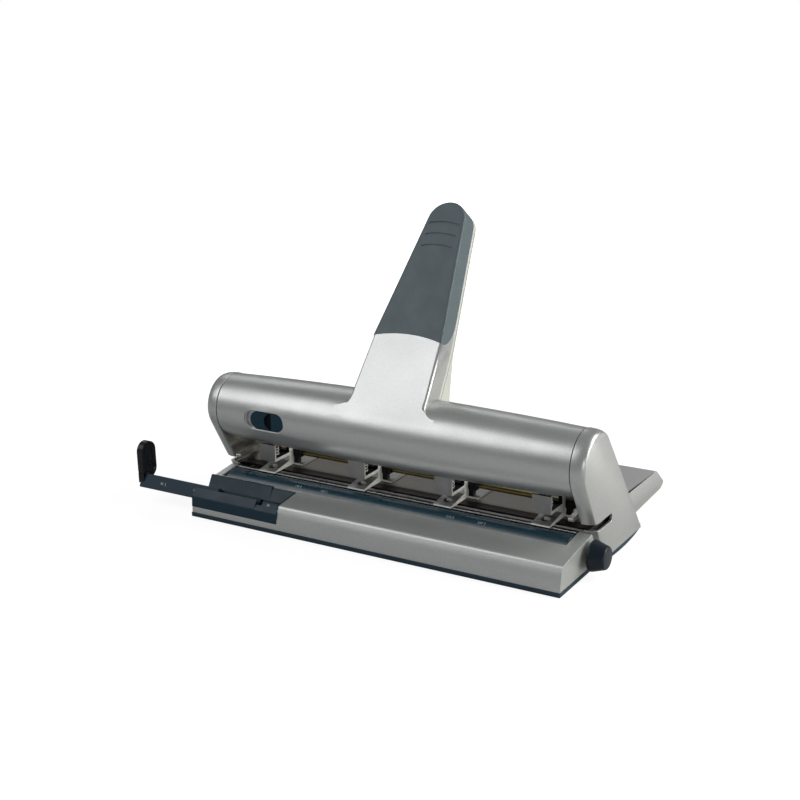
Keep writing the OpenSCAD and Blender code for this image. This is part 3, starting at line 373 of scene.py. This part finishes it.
def make_materials():
    """Every finish by its name."""
    along_x = (LINE_STRETCH, 1, 1)
    along_y = (1, LINE_STRETCH, 1)
    along_z = (1, 1, LINE_STRETCH)
    return {
        "silver_paint": painted("silver_paint", (0.52, 0.53, 0.53), 0.7, 0.34),
        "table_paint": painted("table_paint", (0.5, 0.52, 0.51), 0.5, 0.36),
        "pale_plastic": moulded("pale_plastic", (0.6, 0.61, 0.57), 0.42, tint=0.025),
        "slate_plastic": moulded("slate_plastic", (0.009, 0.03, 0.048), 0.36,
                                 Specular_IOR_Level=0.25),
        "rim_plastic": moulded("rim_plastic", (0.015, 0.035, 0.053), 0.42,
                               Specular_IOR_Level=0.35),
        "grip_rubber": moulded("grip_rubber", (0.085, 0.118, 0.138), 0.5, grain=0.0004,
                               height=0.00003, tint=0.04, Sheen_Weight=0.12),
        "black_plastic": moulded("black_plastic", (0.003, 0.004, 0.007), 0.3, height=0.0000006,
                                 Specular_IOR_Level=0.35),
        "knob_plastic": moulded("knob_plastic", (0.006, 0.012, 0.02), 0.32,
                                Specular_IOR_Level=0.3),
        "slider_plastic": moulded("slider_plastic", (0.002, 0.028, 0.05), 0.4,
                                  Specular_IOR_Level=0.25),
        "clip_plastic": moulded("clip_plastic", (0.006, 0.006, 0.006), 0.55, height=0.000004,
                                Specular_IOR_Level=0.2),
        # Painted shade: near-black, barely glossy plastic put in recesses where light hardly comes
        "painted_shade_plastic": moulded("painted_shade_plastic", (0.003, 0.004, 0.005), 0.7,
                                  Specular_IOR_Level=0.1),
        "drum_blue": moulded("drum_blue", (0.009, 0.043, 0.066), 0.3, height=0.000008,
                             Coat_Weight=0.3, Coat_Roughness=0.2),
        "zinc_steel": machined("zinc_steel", (0.42, 0.41, 0.39), 0.34, along_x),
        "floor_steel": machined("floor_steel", (0.2, 0.187, 0.17), 0.3, along_x,
                                height=0.0000001, spots=0.03, streaks=0.015),
        # Painted shade: near-black steel for the rail below its lip and the floor plate's front
        # band
        "painted_shade_steel": machined("painted_shade_steel", (0.05, 0.042, 0.036), 0.45, along_x,
                                height=0.000002),
        "head_face": machined("head_face", (0.3, 0.3, 0.3), 0.4, along_z, metallic=0.85,
                              height=0.000002),
        "head_cut": machined("head_cut", (0.93, 0.925, 0.89), 0.4, along_y, metallic=0,
                             height=0.000002, spots=0.04),
        "tongue_steel": machined("tongue_steel", (0.4, 0.4, 0.39), 0.3, along_x, metallic=0.6,
                                 height=0.000002, spots=0.05),
        # Painted shade: near-black steel inside the heads, round their coils
        "head_inside_shade": machined("head_inside_shade", (0.03, 0.03, 0.03), 0.5, along_z,
                                height=0.000002),
        "bright_steel": machined("bright_steel", (0.66, 0.66, 0.66), 0.24, along_x,
                                 height=0.000001, spots=0.04),
        "spring_steel": machined("spring_steel", (0.95, 0.95, 0.94), 0.25, along_z, metallic=0,
                                 height=0.000001, spots=0.02),
        "brass": machined("brass", (0.3, 0.24, 0.09), 0.32, along_x),
        "foot_rubber": moulded("foot_rubber", (0.02, 0.02, 0.02), 0.7),
        "lid_plastic": moulded("lid_plastic", (0.36, 0.36, 0.38), 0.42, tint=0.03),
        "screw_steel": machined("screw_steel", (0.5, 0.5, 0.5), 0.35, along_x),
        "mark_ink": moulded("mark_ink", (0.42, 0.5, 0.55), 0.5, height=0.000002),
        "seam_dark": moulded("seam_dark", (0.16, 0.17, 0.17), 0.6, height=0.000002),
    }


def body_with(node):
    """The body that a CAD node belongs to."""
    return NODES[node]["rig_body"]


def add_piece(name, mesh, material, node):
    """A new piece that rides with the body of a CAD node and takes its finish."""
    piece = bpy.data.objects.new(name, mesh)
    bpy.context.scene.collection.objects.link(piece)
    mesh.materials.clear()
    mesh.materials.append(material)
    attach(piece, body_with(node))
    return piece


def lever_depth(place):
    """Depth of a place behind the plane of the lever's front face."""
    return (place - AXIS).dot(LEVER_INWARD) + LEVER_FRONT


def height_on_lever(place):
    """Distance of a place from the swing axis, along the lever."""
    return (place - AXIS).dot(LEVER_ALONG)


def round_rim(piece, width, outer, kept):
    """Rounds the convex edges from an outer face to a wall, where kept(place, wall) holds."""
    work = bmesh.new()
    work.from_mesh(piece.data)
    weight = work.edges.layers.float.new("bevel_weight_edge")
    for line in work.edges:
        if line.smooth or not line.is_manifold or not line.is_convex:
            continue
        walls = [f.normal for f in line.link_faces if abs(f.normal.dot(LEVER_INWARD)) < LEANING]
        if walls and any(outer(f) for f in line.link_faces) and kept(line.verts[0].co, walls[0]):
            line[weight] = 1
    work.to_mesh(piece.data)
    work.free()
    bevel = piece.modifiers.new("rim", "BEVEL")
    bevel.width = width
    bevel.segments = RIM_SEGMENTS
    bevel.limit_method = "WEIGHT"
    bevel.use_clamp_overlap = False
    bevel.harden_normals = True
    if len(piece.modifiers) > 1:
        piece.modifiers.move(len(piece.modifiers) - 1, 0)


def dressed(node, edge, material, segments=2):
    """The CAD node with its edges rounded and its curved faces shaded smooth."""
    mesh = NODES[node].data.copy()
    if "custom_normal" in mesh.attributes:
        mesh.attributes.remove(mesh.attributes["custom_normal"])
    work = bmesh.new()
    work.from_mesh(mesh)
    bmesh.ops.remove_doubles(work, verts=work.verts, dist=MERGE_DISTANCE)
    bmesh.ops.dissolve_limit(work, angle_limit=FLAT_ANGLE, verts=work.verts, edges=work.edges)
    for face in work.faces:
        face.smooth = True
        face.material_index = 0
    for line in work.edges:
        line.smooth = line.is_manifold and line.calc_face_angle(0) < SHARP_ANGLE
    work.to_mesh(mesh)
    work.free()
    piece = add_piece(node + "_dressed", mesh, material, node)
    if edge > 0:
        bevel = piece.modifiers.new("edges", "BEVEL")
        bevel.width = edge
        bevel.segments = segments
        bevel.limit_method = "ANGLE"
        bevel.angle_limit = SHARP_ANGLE
        bevel.use_clamp_overlap = True
        bevel.harden_normals = True
    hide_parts(node)
    return piece


def zone(piece, material, chosen):
    """Gives the faces that chosen(centre, normal) picks a finish of their own."""
    piece.data.materials.append(material)
    index = len(piece.data.materials) - 1
    for face in piece.data.polygons:
        if chosen(face.center, face.normal):
            face.material_index = index


def sliced(piece, place, direction):
    """Cuts the faces of a piece along a plane, so that a zone can end there."""
    work = bmesh.new()
    work.from_mesh(piece.data)
    everything = list(work.verts) + list(work.edges) + list(work.faces)
    bmesh.ops.bisect_plane(work, geom=everything, plane_co=place, plane_no=direction)
    work.to_mesh(piece.data)
    work.free()


def dress_head(i, materials):
    """A head: dull front, bright sawn sides, painted shade inside round its coil, and its tongue.
    """
    piece = dressed(f"head_{i}", SHEET_EDGE, materials["head_face"])
    low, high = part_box(f"punch_{i}")
    middle = (low.x + high.x) / 2
    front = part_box(f"head_{i}")[0].y + HEAD_FRONT_BACK
    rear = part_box(f"clip_{i}")[0].y
    # Painted shade on the faces inside the upper jaw, round the coil
    zone(piece, materials["head_inside_shade"],
         lambda at, n: at.y > front and at.z > JAW_LOW and abs(at.x - middle) < HEAD_HALF)
    zone(piece, materials["head_cut"],
         lambda at, n: abs(n.x) > FACING and abs(at.x - middle) > HEAD_HALF and at.y < rear)
    zone(piece, materials["tongue_steel"],
         lambda at, n: at.z < JAW_LOW and at.y < rear and n.z > FACING)
    zone(piece, materials["head_cut"], lambda at, n: at.z < JAW_LOW and n.y < -FACING)


def dress_back(materials):
    """The lever's rear shell, with the dark seam between its two mouldings."""
    piece = dressed("handle_back", FINE_EDGE, materials["pale_plastic"])
    depths = [SEAM_DEPTH + k * SEAM_WIDTH / 2 for k in (-1, 1)]
    for depth in depths:
        sliced(piece, AXIS + LEVER_INWARD * (depth - LEVER_FRONT), LEVER_INWARD)
    zone(piece, materials["seam_dark"], lambda at, n: depths[0] < lever_depth(at) < depths[1])
    round_rim(piece, BACK_EDGE, lambda face: face.normal.dot(LEVER_INWARD) > LEANING,
              lambda at, wall: height_on_lever(at) > BACK_RIM_FROM)


def dress_lever(materials):
    """The front mouldings of the lever, well rounded along its outline but not at the grooves."""
    def in_front(face):
        return (face.normal.dot(LEVER_INWARD) < -STRAIGHT
                and abs(lever_depth(face.verts[0].co)) < RIM_TOLERANCE)

    cover = dressed("tube_cover", SOFT_EDGE, materials["silver_paint"])
    round_rim(cover, RIM_EDGE, in_front, lambda at, wall: FLARE_FROM < height_on_lever(at)
              and (abs(wall.x) > LEANING or height_on_lever(at) < FLARE_TOP))
    pad = dressed("grip_pad", SHEET_EDGE, materials["grip_rubber"])
    round_rim(pad, RIM_EDGE, in_front, lambda at, wall: height_on_lever(at) > TIP_FROM
              or (abs(wall.x) > LEANING and abs(at.x) > GROOVE_HALF))


def dress_paddle(materials):
    """The guide's upright plate, with a raised border round its dished face."""
    piece = dressed("guide_paddle", FINE_EDGE, materials["black_plastic"], segments=3)
    work = bmesh.new()
    work.from_mesh(piece.data)
    inner = max((f for f in work.faces if f.normal.x > STRAIGHT), key=lambda f: f.calc_area())
    bmesh.ops.inset_region(work, faces=[inner], thickness=PADDLE_BORDER, depth=0)
    bmesh.ops.inset_region(work, faces=[inner], thickness=PADDLE_DISH, depth=-PADDLE_DISH)
    work.to_mesh(piece.data)
    work.free()


def number_mesh(text, place, along, upward):
    """A raised number of a scale, lying at a place with its baseline along a direction."""
    curve = bpy.data.curves.new("number", "FONT")
    curve.body = text
    curve.size = NUMBER_HEIGHT
    curve.align_x = "CENTER"
    curve.align_y = "CENTER"
    curve.extrude = MARK_THICK / 2
    holder = bpy.data.objects.new("number", curve)
    bpy.context.scene.collection.objects.link(holder)
    evaluated = holder.evaluated_get(bpy.context.evaluated_depsgraph_get())
    mesh = bpy.data.meshes.new_from_object(evaluated)
    bpy.data.objects.remove(holder)
    outward = along.cross(upward)
    mesh.transform(Matrix((
        (along.x, upward.x, outward.x, place.x), (along.y, upward.y, outward.y, place.y),
        (along.z, upward.z, outward.z, place.z), (0, 0, 0, 1))))
    return mesh


def tick_mesh(feet, along, upward):
    """Short raised lines of a scale, as tall as its numbers, each given as its foot."""
    outward = along.cross(upward)
    points, faces = [], []
    for foot in feet:
        start = len(points)
        for up, side in ((0, -1), (0, 1), (1, 1), (1, -1)):
            flat = foot + upward * (up * NUMBER_HEIGHT) + along * (side * TICK_WIDTH / 2)
            points += [flat, flat + outward * MARK_THICK]
        for a, b in ((0, 2), (2, 4), (4, 6), (6, 0)):
            faces.append([start + a, start + b, start + b + 1, start + a + 1])
        faces.append([start + k for k in (1, 3, 5, 7)])
    mesh = bpy.data.meshes.new("ticks")
    mesh.from_pydata(points, [], faces)
    return mesh


def add_scale(name, places, upward, material, node):
    """Numbers on a node, each with a tick to its right. Places are pairs of a point and a text."""
    right = Vector((1, 0, 0))
    for k, (place, text) in enumerate(places):
        mesh = number_mesh(text, place, right, upward)
        add_piece(f"{name}_number_{k + 1}", mesh, material, node)
    feet = [place + right * TICK_AFTER - upward * (NUMBER_HEIGHT / 2) for place, text in places]
    add_piece(f"{name}_ticks", tick_mesh(feet, right, upward), material, node)


def mark_drum(material):
    """Sheet sizes on the scale drum, turned towards the front."""
    outward = Vector((0, -math.cos(DRUM_MARK_ANGLE), math.sin(DRUM_MARK_ANGLE)))
    upward = Vector((0, math.sin(DRUM_MARK_ANGLE), math.cos(DRUM_MARK_ANGLE)))
    low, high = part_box("scale_drum")
    level = Vector((0, DRUM_AXIS.y, DRUM_AXIS.z)) + outward * (high.z - low.z) / 2
    places = [(level + Vector((x, 0, 0)), text) for x, text in DRUM_MARKS]
    add_scale("drum", places, upward, material, "scale_drum")


def mark_bar(material):
    """Numbers and ticks on the front face of the guide's bar."""
    low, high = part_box("guide_bar")
    middle = (low + high) / 2
    outward = Vector((0, -math.cos(BAR_LEAN), math.sin(BAR_LEAN)))
    upward = Vector((0, math.sin(BAR_LEAN), math.cos(BAR_LEAN)))
    level = Vector((low.x, middle.y, middle.z)) + outward * (BAR_THICK / 2 - MARK_SINK)
    places = [(level + Vector((x, 0, 0)), text) for x, text in BAR_MARKS]
    add_scale("bar", places, upward, material, "guide_bar")


def mark_housing(material):
    """The number beside the housing's window, on its sloping front."""
    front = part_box("guide_housing")[0].y - HOUSING_SET
    slope = Vector((0, RIDGE_IN - RIDGE_FACE_IN, RIDGE_TOP - RIDGE_FACE_TOP)).normalized()
    right = Vector((1, 0, 0))
    x, up, text = HOUSING_MARK
    place = Vector((x, front + RIDGE_FACE_IN, RIDGE_FACE_TOP)) + slope * up
    place += right.cross(slope) * MARK_SINK
    mesh = number_mesh(text, place, right, slope)
    add_piece("housing_number_1", mesh, material, "guide_housing")


def paint_hollow_shade(pieces, materials):
    """Painted shade where light hardly comes: chute, sleeve's end, thumb notch and slot."""
    rail_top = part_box("front_rail")[1].z
    # Painted shade on the rail below its bright lip and on its faces that do not look forward
    zone(pieces["front_rail"], materials["painted_shade_steel"],
         lambda at, n: at.z < rail_top - RAIL_SHEET or n.y > -FACING)
    slider_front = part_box("lock_slider")[0].y
    # Painted shade in the slider's thumb notch, behind its front
    zone(pieces["lock_slider"], materials["painted_shade_plastic"],
         lambda at, n: n.y < 0 and at.y > slider_front + NOTCH_FROM)
    sleeve_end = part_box("guide_housing")[1].x - SLEEVE_SHORT
    # Painted shade on the housing's right-facing faces before the sleeve's right end
    zone(pieces["guide_housing"], materials["painted_shade_plastic"],
         lambda at, n: n.x > FACING and at.x < sleeve_end)
    # Painted shade in a band behind the floor plate's front edge
    floor_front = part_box("floor_plate")[0].y + SLOT_SHADE_BAND
    sliced(pieces["floor_plate"], Vector((0, floor_front, 0)), Vector((0, 1, 0)))
    zone(pieces["floor_plate"], materials["painted_shade_steel"], lambda at, n: at.y < floor_front)


def dress_nodes(materials):
    """Every CAD node with its finish. The numbered nodes are the punch heads' parts."""
    pieces = {node: dressed(node, edge, materials[finish])
              for node, (finish, edge) in FINISHES.items()}
    paint_hollow_shade(pieces, materials)
    dress_lever(materials)
    dress_back(materials)
    dress_paddle(materials)
    for i in HEADS:
        dress_head(i, materials)
        dressed(f"clip_{i}", FINE_EDGE, materials["clip_plastic"])
        dressed(f"punch_{i}", SHEET_EDGE, materials["bright_steel"])
        dress_spring(i, materials["spring_steel"])


def dress_spring(i, material):
    """The coil, rounder than its CAD form."""
    spring = dressed(f"spring_{i}", 0, material)
    low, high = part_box(f"spring_{i}")
    middle = (low + high) / 2
    for point in spring.data.vertices:
        outward = Vector((point.co.x - middle.x, point.co.y - middle.y, 0)).normalized()
        point.co += outward * COIL_WIDER + point.normal * WIRE_EXTRA
    smooth = spring.modifiers.new("round", "SUBSURF")
    smooth.levels = 1
    smooth.render_levels = 1
    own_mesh(spring)


def add_lamp(name, place, size, power, colour, target):
    """A soft rectangular lamp that looks at a point."""
    data = bpy.data.lights.new(name, "AREA")
    data.shape = "RECTANGLE"
    data.size, data.size_y = size
    data.energy = power
    data.color = colour
    light = bpy.data.objects.new(name, data)
    bpy.context.scene.collection.objects.link(light)
    light.location = place
    light.rotation_euler = (target - Vector(place)).to_track_quat("-Z", "Y").to_euler()


def make_studio():
    """A room that the camera sees as white, a pale floor with a soft shadow, and the lamps."""
    world = bpy.data.worlds.new("room")
    bpy.context.scene.world = world
    world.use_nodes = True
    tree = world.node_tree
    room = tree.nodes["Background"]
    room.inputs["Color"].default_value = ROOM_COLOUR
    room.inputs["Strength"].default_value = ROOM_STRENGTH
    white = tree.nodes.new("ShaderNodeBackground")
    white.inputs["Color"].default_value = (1, 1, 1, 1)
    white.inputs["Strength"].default_value = 1
    mix = tree.nodes.new("ShaderNodeMixShader")
    rays = tree.nodes.new("ShaderNodeLightPath")
    tree.links.new(rays.outputs["Is Camera Ray"], mix.inputs["Fac"])
    tree.links.new(room.outputs["Background"], mix.inputs[1])
    tree.links.new(white.outputs["Background"], mix.inputs[2])
    tree.links.new(mix.outputs["Shader"], tree.nodes["World Output"].inputs["Surface"])

    mesh = bpy.data.meshes.new("floor")
    signs = ((-1, -1), (1, -1), (1, 1), (-1, 1))
    corners = [(FLOOR_HALF * x, FLOOR_HALF * y, 0) for x, y in signs]
    mesh.from_pydata(corners, [], [(0, 1, 2, 3)])
    floor = bpy.data.objects.new("floor", mesh)
    bpy.context.scene.collection.objects.link(floor)
    mesh.materials.append(floor_material())

    for lamp in LAMPS:
        add_lamp(*lamp)


def floor_material():
    """Pale floor that glows a little to the camera, so it reads as white and keeps the shadow."""
    s = Shader("floor_paper", Roughness=0.6, Specular_IOR_Level=0.2)
    s.colour(s.noise(FLOOR_PATCH), *FLOOR_TONES)
    glow = s.tree.nodes.new("ShaderNodeEmission")
    glow.inputs["Strength"].default_value = GLOW_STRENGTH
    mix = s.tree.nodes.new("ShaderNodeMixShader")
    far = s.tree.nodes.new("ShaderNodeVectorMath")
    far.operation = "LENGTH"
    s.link(s.coordinates, far.inputs[0])
    share = s.tree.nodes.new("ShaderNodeMath")
    share.operation = "MULTIPLY"
    reach = s.spread(far.outputs["Value"], GLOW_SHARE, 1, SHADOW_REACH, FLOOR_WHITE_FROM)
    s.link(reach, share.inputs[1])
    rays = s.tree.nodes.new("ShaderNodeLightPath")
    s.link(rays.outputs["Is Camera Ray"], share.inputs[0])
    s.link(share.outputs["Value"], mix.inputs["Fac"])
    s.link(s.base.outputs["BSDF"], mix.inputs[1])
    s.link(glow.outputs["Emission"], mix.inputs[2])
    s.link(mix.outputs["Shader"], s.tree.nodes["Material Output"].inputs["Surface"])
    return s.material


place_camera()
make_studio()
all_materials = make_materials()
dress_nodes(all_materials)
for mark in (mark_drum, mark_bar, mark_housing):
    mark(all_materials["mark_ink"])
bpy.context.scene.view_settings.view_transform = "Standard"
